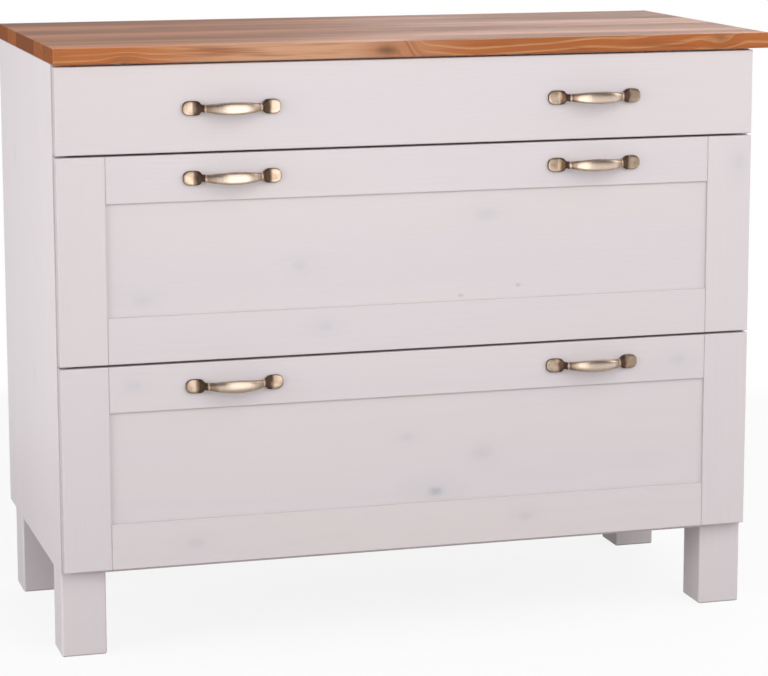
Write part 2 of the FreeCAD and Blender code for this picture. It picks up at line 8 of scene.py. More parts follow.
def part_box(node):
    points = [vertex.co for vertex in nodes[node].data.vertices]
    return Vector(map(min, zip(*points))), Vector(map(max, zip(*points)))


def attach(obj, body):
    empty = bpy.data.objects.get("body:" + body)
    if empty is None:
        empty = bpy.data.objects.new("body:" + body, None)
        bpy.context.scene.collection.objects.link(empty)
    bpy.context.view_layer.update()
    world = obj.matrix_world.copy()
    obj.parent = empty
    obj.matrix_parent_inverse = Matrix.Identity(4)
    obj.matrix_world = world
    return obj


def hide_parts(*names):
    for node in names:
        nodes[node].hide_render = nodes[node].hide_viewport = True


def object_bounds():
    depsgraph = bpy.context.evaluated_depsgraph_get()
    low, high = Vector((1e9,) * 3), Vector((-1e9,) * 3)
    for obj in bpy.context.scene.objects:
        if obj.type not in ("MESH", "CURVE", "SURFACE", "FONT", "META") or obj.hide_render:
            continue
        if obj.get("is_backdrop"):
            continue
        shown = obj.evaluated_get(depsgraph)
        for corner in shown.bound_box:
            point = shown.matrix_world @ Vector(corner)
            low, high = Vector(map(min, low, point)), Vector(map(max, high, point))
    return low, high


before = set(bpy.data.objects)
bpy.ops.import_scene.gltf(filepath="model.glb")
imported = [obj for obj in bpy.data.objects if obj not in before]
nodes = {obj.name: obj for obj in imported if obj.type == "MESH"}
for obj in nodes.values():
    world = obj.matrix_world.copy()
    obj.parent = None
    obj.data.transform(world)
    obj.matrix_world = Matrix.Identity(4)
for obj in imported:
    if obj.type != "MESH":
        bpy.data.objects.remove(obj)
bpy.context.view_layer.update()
scene = bpy.context.scene
scene.view_settings.view_transform = "Standard"
drawers = ("top", "middle", "bottom")
print("frame loaded:", len(nodes), "nodes")


# camera, floor and light

cameraSetup = {
    "place": (-1.0994, -3.8625, 1.1307),
    "yaw": 16.52,
    "pitch": -9.77,
    "lens": 130.32,
    "sensor": 36.0,
    "shift": (-0.0324, -0.05),
    "farClip": 300.0,
}

floorSetup = {
    "halfSize": 80.0,
    "pale": (0.95, 0.95, 0.95, 1.0),
    "bounce": (0.46, 0.44, 0.425, 1.0),   # what the floor gives back to the chest
    "shadowReach": 0.9,   # metres from the middle where the floor starts to go plain white
    "whiteReach": 1.8,   # and where it is
    "shadowShare": 0.15,   # how much of the floor near the chest answers to the light
}

worldSetup = {
    "ambient": (0.70, 0.27),   # at the horizon and overhead
    "ambientRise": (0.1, 0.9),   # heights in the sky between which it changes
    "ambientColour": (0.98, 0.98, 1.0, 1.0),
    "reflected": 0.17,   # what reflections see on the camera's side
    "backdrop": (-0.35, 0.15),   # depths between which they come to see the white backdrop
    "white": (1.0, 1.0, 1.0, 1.0),
}

# reflections show the right and the back lamp, and the card is seen in them alone
lampSetup = {
    "key": {"place": (0.38, -1.65, 1.4), "aim": (0.05, -0.2, 0.82), "size": (3.0, 2.0), "power": 24.5,
            "colour": (1.0, 0.98, 0.965), "reflections": "none"},
    "left": {"place": (-2.6, -0.75, 0.85), "aim": (-0.5, 0.0, 0.40), "size": (1.6, 1.4), "power": 29.0,
             "colour": (0.99, 0.985, 1.0), "reflections": "none"},
    "right": {"place": (2.6, -0.5, 1.5), "aim": (0.5, 0.0, 0.4), "size": (1.6, 1.4), "power": 12.5,
              "colour": (1.0, 0.98, 0.96)},
    "back": {"place": (1.95, 2.75, 1.3), "aim": (0.0, 0.25, 0.5), "size": (2.6, 2.0), "power": 40.0,
             "colour": (0.99, 0.99, 1.0)},
    "card": {"place": (-0.06, -0.74, 0.62), "aim": (-0.06, -0.22, 0.6), "size": (0.58, 0.75), "power": 1.8,
             "colour": (1.0, 0.97, 0.935), "reflections": "only"},
}


def addCamera():
    setup = cameraSetup
    data = bpy.data.cameras.new("camera")
    data.lens = setup["lens"]
    data.sensor_width = setup["sensor"]
    data.shift_x, data.shift_y = setup["shift"]
    data.clip_end = setup["farClip"]
    camera = bpy.data.objects.new("camera", data)
    camera.location = setup["place"]
    camera.rotation_euler = (math.radians(90 + setup["pitch"]), 0, -math.radians(setup["yaw"]))
    scene.collection.objects.link(camera)
    scene.camera = camera


def addLamp(name, setup):
    data = bpy.data.lights.new(name, "AREA")
    data.shape = "RECTANGLE"
    data.size, data.size_y = setup["size"]
    data.energy = setup["power"]
    data.color = setup["colour"]
    lamp = bpy.data.objects.new(name, data)
    lamp.location = setup["place"]
    aim = Vector(setup["aim"]) - Vector(setup["place"])
    lamp.rotation_euler = aim.to_track_quat("-Z", "Y").to_euler()
    lamp.visible_camera = False
    lamp.visible_diffuse = setup.get("reflections") != "only"
    lamp.visible_glossy = setup.get("reflections") != "none"
    scene.collection.objects.link(lamp)


# short ways to build node trees

def feed(tree, value, socket):
    if isinstance(value, bpy.types.NodeSocket):
        tree.links.new(value, socket)
    else:
        socket.default_value = value


def addNode(tree, kind, values=None, **settings):
    made = tree.nodes.new(kind)
    for name, setting in settings.items():
        setattr(made, name, setting)
    for name, value in (values or {}).items():
        feed(tree, value, made.inputs[name])
    return made


def calc(tree, operation, *values, clamp=False):
    made = addNode(tree, "ShaderNodeMath", operation=operation, use_clamp=clamp)
    for socket, value in zip(made.inputs, values):
        feed(tree, value, socket)
    return made.outputs[0]


def calcVector(tree, operation, *values):
    made = addNode(tree, "ShaderNodeVectorMath", operation=operation)
    sockets = [made.inputs[0], made.inputs["Scale"]] if operation == "SCALE" else made.inputs
    for socket, value in zip(sockets, values):
        feed(tree, value, socket)
    return made.outputs["Value" if operation in ("LENGTH", "DOT_PRODUCT") else "Vector"]


def split(tree, vector):
    return addNode(tree, "ShaderNodeSeparateXYZ", {"Vector": vector}).outputs


def span(tree, value, low, high, outLow=0.0, outHigh=1.0):
    limits = {"Value": value, "From Min": low, "From Max": high, "To Min": outLow, "To Max": outHigh}
    return addNode(tree, "ShaderNodeMapRange", limits, interpolation_type="SMOOTHSTEP").outputs["Result"]


def mixValue(tree, share, first, second):
    return addNode(tree, "ShaderNodeMix", {0: share, 2: first, 3: second}).outputs[0]


def tint(tree, share, first, second):
    return addNode(tree, "ShaderNodeMix", {0: share, 6: first, 7: second}, data_type="RGBA").outputs[2]


def layer(tree, mask, share, under, over):
    return tint(tree, calc(tree, "MULTIPLY", mask, share), under, over)


def noise(tree, vector, scale, detail=2.0, roughness=0.5):
    values = {"Vector": vector, "Scale": scale, "Detail": detail, "Roughness": roughness}
    return addNode(tree, "ShaderNodeTexNoise", values).outputs


def stretchedNoise(tree, vector, scales, detail=2.0, roughness=0.5):
    return noise(tree, calcVector(tree, "MULTIPLY", vector, scales), 1.0, detail, roughness)


def startGroup(name, given, made):
    group = bpy.data.node_groups.new(name, "ShaderNodeTree")
    for label, kind, start in given:
        socket = group.interface.new_socket(label, in_out="INPUT", socket_type="NodeSocket" + kind)
        socket.default_value = start
    for label, kind in made:
        group.interface.new_socket(label, in_out="OUTPUT", socket_type="NodeSocket" + kind)
    return group, group.nodes.new("NodeGroupInput").outputs, group.nodes.new("NodeGroupOutput").inputs


def useGroup(tree, group, values):
    return addNode(tree, "ShaderNodeGroup", values, node_tree=group).outputs


def startMaterial(name):
    material = bpy.data.materials.new(name)
    material.use_nodes = True
    tree = material.node_tree
    return material, tree, tree.nodes["Principled BSDF"].inputs


def texCoord(tree, kind):
    return addNode(tree, "ShaderNodeTexCoord").outputs[kind]


def objectPlace(tree):
    return texCoord(tree, "Object")


def addBump(tree, height, depth, strength=1.0):
    values = {"Height": height, "Distance": depth, "Strength": strength}
    return addNode(tree, "ShaderNodeBump", values).outputs["Normal"]


def endWithMix(tree, share, first, second, output):
    mixed = addNode(tree, "ShaderNodeMixShader", {"Fac": share, 1: first, 2: second})
    addNode(tree, output, {"Surface": mixed.outputs[0]})


def addWorld():
    setup = worldSetup
    world = bpy.data.worlds.new("studio")
    scene.world = world
    world.use_nodes = True
    tree = world.node_tree
    tree.nodes.clear()
    path = addNode(tree, "ShaderNodeLightPath").outputs
    heading = split(tree, texCoord(tree, "Generated"))
    behind = span(tree, heading["Y"], *setup["backdrop"])
    mirrored = calc(tree, "MULTIPLY", path["Is Glossy Ray"], behind)
    seen = calc(tree, "MAXIMUM", path["Is Camera Ray"], mirrored)
    seen = calc(tree, "MAXIMUM", seen, path["Is Transmission Ray"])
    dome = span(tree, heading["Z"], *setup["ambientRise"], *setup["ambient"])
    dome = mixValue(tree, path["Is Glossy Ray"], dome, setup["reflected"])
    ambient = addNode(tree, "ShaderNodeBackground", {"Color": setup["ambientColour"], "Strength": dome})
    white = addNode(tree, "ShaderNodeBackground", {"Color": setup["white"], "Strength": 1.0})
    endWithMix(tree, seen, ambient.outputs[0], white.outputs[0], "ShaderNodeOutputWorld")


def makeFloorMaterial():
    setup = floorSetup
    material = bpy.data.materials.new("paleFloor")
    material.use_nodes = True
    tree = material.node_tree
    tree.nodes.clear()
    path = addNode(tree, "ShaderNodeLightPath").outputs
    seen = calc(tree, "MAXIMUM", path["Is Camera Ray"], path["Is Glossy Ray"])
    seen = calc(tree, "MAXIMUM", seen, path["Is Transmission Ray"])
    away = calcVector(tree, "LENGTH", objectPlace(tree))
    plain = span(tree, away, setup["shadowReach"], setup["whiteReach"])
    lifted = calc(tree, "MULTIPLY", path["Is Camera Ray"], 1.0 - setup["shadowShare"])
    plain = calc(tree, "MULTIPLY", seen, calc(tree, "MAXIMUM", plain, lifted))
    shade = tint(tree, path["Is Camera Ray"], setup["bounce"], setup["pale"])
    matt = addNode(tree, "ShaderNodeBsdfDiffuse", {"Color": shade})
    white = addNode(tree, "ShaderNodeEmission", {"Color": worldSetup["white"], "Strength": 1.0})
    endWithMix(tree, plain, matt.outputs[0], white.outputs[0], "ShaderNodeOutputMaterial")
    return material


def addFloor():
    floorMesh = bpy.data.meshes.new("studioFloor")
    bm = bmesh.new()
    bmesh.ops.create_grid(bm, x_segments=2, y_segments=2, size=floorSetup["halfSize"])
    bm.to_mesh(floorMesh)
    bm.free()
    floor = bpy.data.objects.new("studioFloor", floorMesh)
    scene.collection.objects.link(floor)
    floorMesh.materials.append(makeFloorMaterial())
    floor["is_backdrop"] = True


addCamera()
for name, setup in lampSetup.items():
    addLamp(name + "Lamp", setup)
addWorld()
addFloor()
print("stage set")


# shared wood and wear effects

grainSetup = {   # noise scales run along, through and across a board
    "drift": (2.2, 7.0, 7.0),
    "uneven": (1.1, 30.0, 30.0),
    "fibre": (24.0, 620.0, 620.0),
    "fibreDetail": (3.0, 0.62),
    "tone": (1.3, 11.0, 11.0),
    "streak": (5.0, 150.0, 150.0),
    "streakDetail": (2.0, 0.6),
    "streakContrast": (0.48, 0.72),
    "contrast": (0.3, 0.7),
    "ringRise": (0.30, 0.88),   # share of a ring over which the latewood darkens
    "ringFall": (0.90, 1.0),
    "seedStep": (1.37, 0.217, 0.131),   # each seed cuts its board from another place
    "seedWrap": (5.0, 0.6, 0.5),
}

knotSetup = {
    "reach": (0.6, 0.0, 1.0),   # knots are long along the grain and go through the board
    "raggedScale": 130.0,
    "ragged": 0.5,
    "core": (0.35, 1.55),   # fades, in knot sizes from the middle
    "halo": (0.5, 3.6),
    "swirl": -0.75,   # how the rings bend around a knot
}

wearSetup = {
    "samples": 6,
    "bend": (0.015, 0.16),   # how far the normal turns at an edge
    "breakupDetail": (3.0, 0.6),
    "patches": (0.32, 0.62, 0.35, 1.0),
}

mottleSetup = {"broadDetail": 3.0, "contrast": (0.3, 0.7)}


def makePineGrain():
    setup = grainSetup
    group, given, made = startGroup(
        "pineGrain",
        [("Vector", "Vector", (0, 0, 0)), ("Pith", "Vector", (0, 0.02, 0.05)),
         ("RingGap", "Float", 0.005), ("Warp", "Float", 0.012)],
        [("Late", "Float"), ("Fibre", "Float"), ("Tone", "Float"), ("Streak", "Float")])
    place = given["Vector"]
    slow = stretchedNoise(group, place, setup["drift"])["Color"]
    drift = calcVector(group, "SCALE", calcVector(group, "SUBTRACT", slow, (0.5, 0.5, 0.5)), given["Warp"])
    moved = calcVector(group, "SUBTRACT", calcVector(group, "ADD", place, drift), given["Pith"])
    radius = calcVector(group, "LENGTH", calcVector(group, "MULTIPLY", moved, (0.0, 1.0, 1.0)))
    uneven = stretchedNoise(group, place, setup["uneven"], 1.0)[0]
    turn = calc(group, "ADD", calc(group, "DIVIDE", radius, given["RingGap"]), uneven)
    saw = calc(group, "FRACT", turn)
    rise = span(group, saw, *setup["ringRise"])
    fall = span(group, saw, *setup["ringFall"], 1.0, 0.0)
    feed(group, calc(group, "MULTIPLY", rise, fall), made["Late"])
    fibres = stretchedNoise(group, place, setup["fibre"], *setup["fibreDetail"])[0]
    feed(group, span(group, fibres, *setup["contrast"]), made["Fibre"])
    tone = stretchedNoise(group, place, setup["tone"])[0]
    feed(group, span(group, tone, *setup["contrast"]), made["Tone"])
    streaks = stretchedNoise(group, place, setup["streak"], *setup["streakDetail"])[0]
    feed(group, span(group, streaks, *setup["streakContrast"]), made["Streak"])
    return group


def makeKnotSpot():
    setup = knotSetup
    group, given, made = startGroup(
        "knotSpot",
        [("Vector", "Vector", (0, 0, 0)), ("Centre", "Vector", (0, 0, 0)),
         ("Reach", "Vector", setup["reach"]), ("Size", "Float", 0.008)],
        [("Core", "Float"), ("Halo", "Float"), ("Swirl", "Vector")])
    away = calcVector(group, "SUBTRACT", given["Vector"], given["Centre"])
    away = calcVector(group, "MULTIPLY", away, given["Reach"])
    ragged = noise(group, given["Vector"], setup["raggedScale"])[0]
    distance = calc(group, "DIVIDE", calcVector(group, "LENGTH", away), given["Size"])
    rough = calc(group, "ADD", distance, calc(group, "MULTIPLY", ragged, setup["ragged"]))
    feed(group, span(group, rough, *setup["core"], 1.0, 0.0), made["Core"])
    halo = span(group, distance, *setup["halo"], 1.0, 0.0)
    feed(group, halo, made["Halo"])
    bend = calc(group, "MULTIPLY", halo, setup["swirl"])
    feed(group, calcVector(group, "SCALE", away, bend), made["Swirl"])
    return group


def makeEdgeWear():
    setup = wearSetup
    group, given, made = startGroup(
        "edgeWear",
        [("Vector", "Vector", (0, 0, 0)), ("Width", "Float", 0.0025), ("Breakup", "Float", 60.0)],
        [("Mask", "Float")])
    soft = addNode(group, "ShaderNodeBevel", {"Radius": given["Width"]}, samples=setup["samples"])
    facing = addNode(group, "ShaderNodeNewGeometry").outputs["Normal"]
    bend = calc(group, "SUBTRACT", 1.0, calcVector(group, "DOT_PRODUCT", soft.outputs["Normal"], facing))
    broken = noise(group, given["Vector"], given["Breakup"], *setup["breakupDetail"])[0]
    patchy = span(group, broken, *setup["patches"])
    edge = span(group, bend, *setup["bend"])
    feed(group, calc(group, "MULTIPLY", edge, patchy, clamp=True), made["Mask"])
    return group


def makeMottle():
    setup = mottleSetup
    group, given, made = startGroup(
        "mottle", [("Vector", "Vector", (0, 0, 0)), ("Coarse", "Float", 8.0), ("Fine", "Float", 400.0)],
        [("Broad", "Float"), ("Grit", "Float")])
    broad = noise(group, given["Vector"], given["Coarse"], setup["broadDetail"])[0]
    feed(group, span(group, broad, *setup["contrast"]), made["Broad"])
    grit = noise(group, given["Vector"], given["Fine"])[0]
    feed(group, span(group, grit, *setup["contrast"]), made["Grit"])
    return group


pineGrain = makePineGrain()
knotSpot = makeKnotSpot()
edgeWear = makeEdgeWear()
mottle = makeMottle()


def wearMask(tree, place, width, breakup):
    return useGroup(tree, edgeWear, {"Vector": place, "Width": width, "Breakup": breakup})["Mask"]


def addMottle(tree, place, coarse, fine):
    return useGroup(tree, mottle, {"Vector": place, "Coarse": coarse, "Fine": fine})


def turnedPlace(tree, axes):
    parts = split(tree, objectPlace(tree))
    turned = addNode(tree, "ShaderNodeCombineXYZ")
    for index, axis in enumerate(axes):
        feed(tree, parts[axis], turned.inputs[index])
    return turned.outputs[0]


def addKnots(tree, place, knots, reach=knotSetup["reach"]):
    bent, core, halo = place, None, None
    for centre, size in knots:
        spot = useGroup(tree, knotSpot, {"Vector": place, "Centre": centre, "Reach": reach, "Size": size})
        bent = calcVector(tree, "ADD", bent, spot["Swirl"])
        core = spot["Core"] if core is None else calc(tree, "MAXIMUM", core, spot["Core"])
        halo = spot["Halo"] if halo is None else calc(tree, "MAXIMUM", halo, spot["Halo"])
    return bent, core, halo


def seedShift(seed):
    return tuple(seed * step % wrap for step, wrap in zip(grainSetup["seedStep"], grainSetup["seedWrap"]))


def boardGrain(tree, bent, seed, setup):
    shift = seedShift(seed)
    pith = tuple(Vector(shift) + Vector(setup["pith"]))
    return useGroup(tree, pineGrain, {"Vector": calcVector(tree, "ADD", bent, shift), "Pith": pith,
                                      "RingGap": setup["ringGap"], "Warp": setup["warp"]})


def finishWood(tree, shader, colour, grain, setup):
    feed(tree, colour, shader["Base Color"])
    height = calc(tree, "MULTIPLY_ADD", grain["Fibre"], setup["fibreRelief"], grain["Late"])
    feed(tree, addBump(tree, height, setup["grainDepth"]), shader["Normal"])
    satin = span(tree, grain["Fibre"], 0.0, 1.0, *setup["roughness"])
    feed(tree, satin, shader["Roughness"])
    return satin


def dress(node, material):
    mesh = nodes[node].data
    mesh.materials.clear()
    mesh.materials.append(material)


# white glazed pine: pale film over faint grain, pine showing at the arrises

glazeSetup = {
    "film": (0.762, 0.705, 0.716, 1.0),
    "cool": (0.742, 0.700, 0.730, 1.0),
    "warm": (0.755, 0.688, 0.676, 1.0),
    "warmShare": 0.35,
    "late": (0.600, 0.515, 0.480, 1.0),
    "lateByFibre": (0.05, 0.02),   # gain and base
    "lateByTone": (0.8, 0.35),
    "knot": (0.52, 0.55, 0.60, 1.0),
    "knotShare": 0.26,
    "haloShare": 0.10,
    "darkKnot": (0.25, 0.27, 0.32, 1.0),
    "darkKnotShare": 0.33,
    "edge": (0.52, 0.47, 0.47, 1.0),   # darker narrow edges of the fronts: thinner film there, and painted shade on the edges seen in the recesses and gaps
    "edgeFilmAndShadeShare": 0.7,
    "edgeTurn": (0.5, 0.95),
    "joint": (0.56, 0.475, 0.455, 1.0),   # darker line where frame members and panel meet: dark joint, and painted shade of the eased arris and recess
    "jointAndShadeShare": 0.10,
    "jointReach": (0.0006, 0.0032),
    "bare": (0.55, 0.44, 0.36, 1.0),
    "bareShare": 0.42,
    "wear": (0.0022, 45.0),   # width and breakup
    "pith": (0.0, 0.09, 0.25),
    "ringGap": 0.0055,
    "warp": 0.020,
    "roughness": (0.40, 0.52),
    "specular": 0.2,   # a matt film
    "fibreRelief": 0.5,
    "grainDepth": 0.00003,
}

# grain axes: which frame axis runs along, through and across a board
flatGrain = (0, 1, 2)
uprightGrain = (2, 1, 0)
sideGrain = (2, 0, 1)
topGrain = (0, 2, 1)

# knots: along, across, size
glazedBoards = {
    "side_panel_left": {"axes": sideGrain, "seed": 1, "knots": [(0.36, -0.01, 0.010), (0.66, 0.12, 0.008)]},
    "side_panel_right": {"axes": sideGrain, "seed": 2, "knots": [(0.52, 0.05, 0.010), (0.25, -0.1, 0.009)]},
    "bottom_panel": {"axes": topGrain, "seed": 3},
    "top_rail_front": {"axes": topGrain, "seed": 4},
    "top_rail_rear": {"axes": topGrain, "seed": 5},
    "leg_front_left": {"axes": uprightGrain, "seed": 6},
    "leg_front_right": {"axes": uprightGrain, "seed": 7},
    "leg_rear_left": {"axes": uprightGrain, "seed": 8},
    "leg_rear_right": {"axes": uprightGrain, "seed": 9},
    "front_top": {"axes": flatGrain, "seed": 10},
    "front_middle_stile_left": {"axes": uprightGrain, "seed": 11},
    "front_middle_stile_right": {"axes": uprightGrain, "seed": 12, "knots": [(0.653, 0.469, 0.010)]},
    "front_middle_rail_top": {"axes": flatGrain, "seed": 13},
    "front_middle_rail_bottom": {"axes": flatGrain, "seed": 14, "knots": [(-0.139, 0.446, 0.007)]},
    "front_middle_panel": {"axes": flatGrain, "seed": 15,
                           "knots": [(-0.394, 0.494, 0.009), (-0.175, 0.532, 0.008), (0.094, 0.592, 0.011)],
                           "darkKnots": [(0.140, 0.490, 0.003), (0.056, 0.479, 0.003)]},
    "front_bottom_stile_left": {"axes": uprightGrain, "seed": 16},
    "front_bottom_stile_right": {"axes": uprightGrain, "seed": 17},
    "front_bottom_rail_top": {"axes": flatGrain, "seed": 18,
                              "knots": [(-0.409, 0.378, 0.008), (0.382, 0.371, 0.008)]},
    "front_bottom_rail_bottom": {"axes": flatGrain, "seed": 19,
                                 "knots": [(-0.325, 0.153, 0.008), (0.152, 0.157, 0.007)]},
    "front_bottom_panel": {"axes": flatGrain, "seed": 20,
                           "knots": [(0.020, 0.201, 0.012), (0.088, 0.252, 0.010), (-0.022, 0.282, 0.007)],
                           "darkKnots": [(0.020, 0.201, 0.007)]},
}


# darker line along the seams of a framed front: dark joint and painted shade
def jointAndShadeMask(tree, node):
    drawer = next((name for name in drawers if node.startswith(f"front_{name}_")), None)
    if drawer is None:
        return None
    parts = split(tree, objectPlace(tree))
    seams = [("X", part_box(f"front_{drawer}_stile_left")[1].x),
             ("X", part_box(f"front_{drawer}_stile_right")[0].x)]
    if "stile" not in node:
        seams += [("Z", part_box(f"front_{drawer}_rail_top")[0].z),
                  ("Z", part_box(f"front_{drawer}_rail_bottom")[1].z)]
    nearest = None
    for axis, spot in seams:
        gap = calc(tree, "ABSOLUTE", calc(tree, "SUBTRACT", parts[axis], spot))
        nearest = gap if nearest is None else calc(tree, "MINIMUM", nearest, gap)
    return span(tree, nearest, *glazeSetup["jointReach"], 1.0, 0.0)


# darkens the fronts' narrow edges: thinner film at the sides, and painted shade on the side and upward
# edges
def narrowEdgeFilmAndShade(tree, node):
    facing = split(tree, texCoord(tree, "Normal"))
    narrow = calc(tree, "ABSOLUTE", facing["X"])
    unshadedTops = ("front_middle_stile", "front_middle_rail_top")   # their top edge keeps its film, without the painted shade
    if not node.startswith(unshadedTops):
        narrow = calc(tree, "MAXIMUM", narrow, facing["Z"])
    return span(tree, narrow, *glazeSetup["edgeTurn"], 0.0, glazeSetup["edgeFilmAndShadeShare"])


def makeGlazedPine(node, board):
    setup = glazeSetup
    material, tree, shader = startMaterial("glazedPine_" + node)
    place = turnedPlace(tree, board["axes"])
    knots = [((along, 0.0, across), size) for along, across, size in board.get("knots", [])]
    bent, core, halo = addKnots(tree, place, knots)
    grain = boardGrain(tree, bent, board["seed"], setup)
    film = tint(tree, grain["Tone"], setup["film"], setup["cool"])
    film = layer(tree, grain["Streak"], setup["warmShare"], film, setup["warm"])
    fine = calc(tree, "MULTIPLY_ADD", grain["Fibre"], *setup["lateByFibre"])
    broad = calc(tree, "MULTIPLY_ADD", grain["Tone"], *setup["lateByTone"])
    lines = calc(tree, "MULTIPLY", calc(tree, "MULTIPLY", grain["Late"], fine), broad)
    film = tint(tree, lines, film, setup["late"])
    if core is not None:
        film = layer(tree, core, setup["knotShare"], film, setup["knot"])
        film = layer(tree, halo, setup["haloShare"], film, setup["knot"])
    for along, across, size in board.get("darkKnots", []):
        spot = useGroup(tree, knotSpot, {"Vector": place, "Centre": (along, 0.0, across), "Size": size})
        film = layer(tree, spot["Core"], setup["darkKnotShare"], film, setup["darkKnot"])
    if node.startswith("front_"):
        # painted shade on the fronts' narrow edges, with their thinner film
        film = tint(tree, narrowEdgeFilmAndShade(tree, node), film, setup["edge"])
    # dark joint line, partly painted shade of the seam
    joint = jointAndShadeMask(tree, node)
    if joint is not None:
        film = layer(tree, joint, setup["jointAndShadeShare"], film, setup["joint"])
    film = layer(tree, wearMask(tree, place, *setup["wear"]), setup["bareShare"], film, setup["bare"])
    finishWood(tree, shader, film, grain, setup)
    shader["Specular IOR Level"].default_value = setup["specular"]
    return material


for node, board in glazedBoards.items():
    dress(node, makeGlazedPine(node, board))
print("glazed pine:", len(glazedBoards), "boards")


# worktop: glued staves of honey-stained pine under satin lacquer

worktopSetup = {
    "early": (0.74, 0.218, 0.044, 1.0),
    "deep": (0.35, 0.095, 0.024, 1.0),
    "deepByTone": 0.6,
    "deepByStave": 0.55,
    "deepByStreak": 0.75,
    "deepByHalo": 0.35,
    # lighter stain for a painted highlight on the front edge
    "pale": (0.95, 0.545, 0.330, 1.0),
    "paintedHighlightZone": (-0.17, 0.20),   # middle and half width of the lighter stretch, a painted highlight
    "paintedHighlightFade": (0.2, 1.3, 0.9, 0.0),   # in half widths, and the shares at both ends
    "late": (0.90, 0.490, 0.220, 1.0),
    "lateRange": (0.45, 1.0),
    "lateOnTop": 0.5,
    "lateByFibre": (0.45, 0.40),   # gain and base
    "knot": (0.13, 0.048, 0.022, 1.0),
    "knotShare": 0.65,
    "knotReach": (0.5, 1.0, 1.0),
    "staveWidth": 0.0795,
    "staveJump": (3.0, 0.16, 0.10),   # how far apart in the log the staves were cut
    "seam": (0.4925, 0.498),   # glue line, in stave widths from the middle of a stave
    "seamShare": 0.4,
    "lip": 0.006,   # how far the front edge stands over the drawer faces
    "lipBand": 0.012,
    "edgeStain": 0.4,   # the sawn front edge drinks more stain than the face
    "edgeTurn": (-0.95, -0.6),
    "end": (0.185, 0.058, 0.026, 1.0),   # end grain drinks still more stain, and painted shade darkens the ends further
    "endByStave": (0.4, 0.55),
    "endRoughness": 0.95,
    "faceTurn": (0.6, 0.95),   # normals that count as the upper face or an end
    "paintedTopSheenAndShade": (0.21, 0.165, 0.132, 1.0),   # painted sheen and painted shade: a greyer, darker upper face
    "paintedTopSheenByTone": (0.45, 0.18),
    "worn": (0.58, 0.27, 0.12, 1.0),
    "wornShare": 0.2,
    "wear": (0.003, 60.0),   # width and breakup
    "pith": (0.0, -0.10, 0.96),
    "ringGap": 0.0052,
    "warp": 0.045,
    "roughness": (0.43, 0.52),
    "cloudy": 0.18,   # duller patches in the lacquer
    "specular": 0.24,
    "fibreRelief": 0.35,
    "grainDepth": 0.00015,
    "curl": (-0.040, 0.004, 0.030),   # from, to and how far the rings are pushed beside the edge knot
    "frontReach": (0.002, 0.030),   # how far behind the front edge curl and painted highlight fade out
    "knots": [((-0.053, -0.230, 0.824), 0.009), ((0.234, -0.062, 0.836), 0.008),
              ((0.438, -0.226, 0.829), 0.006), ((-0.30, 0.10, 0.836), 0.010),
              ((0.07, 0.15, 0.836), 0.009), ((-0.413, -0.230, 0.812), 0.006)],
    "weld": 0.00001,
}


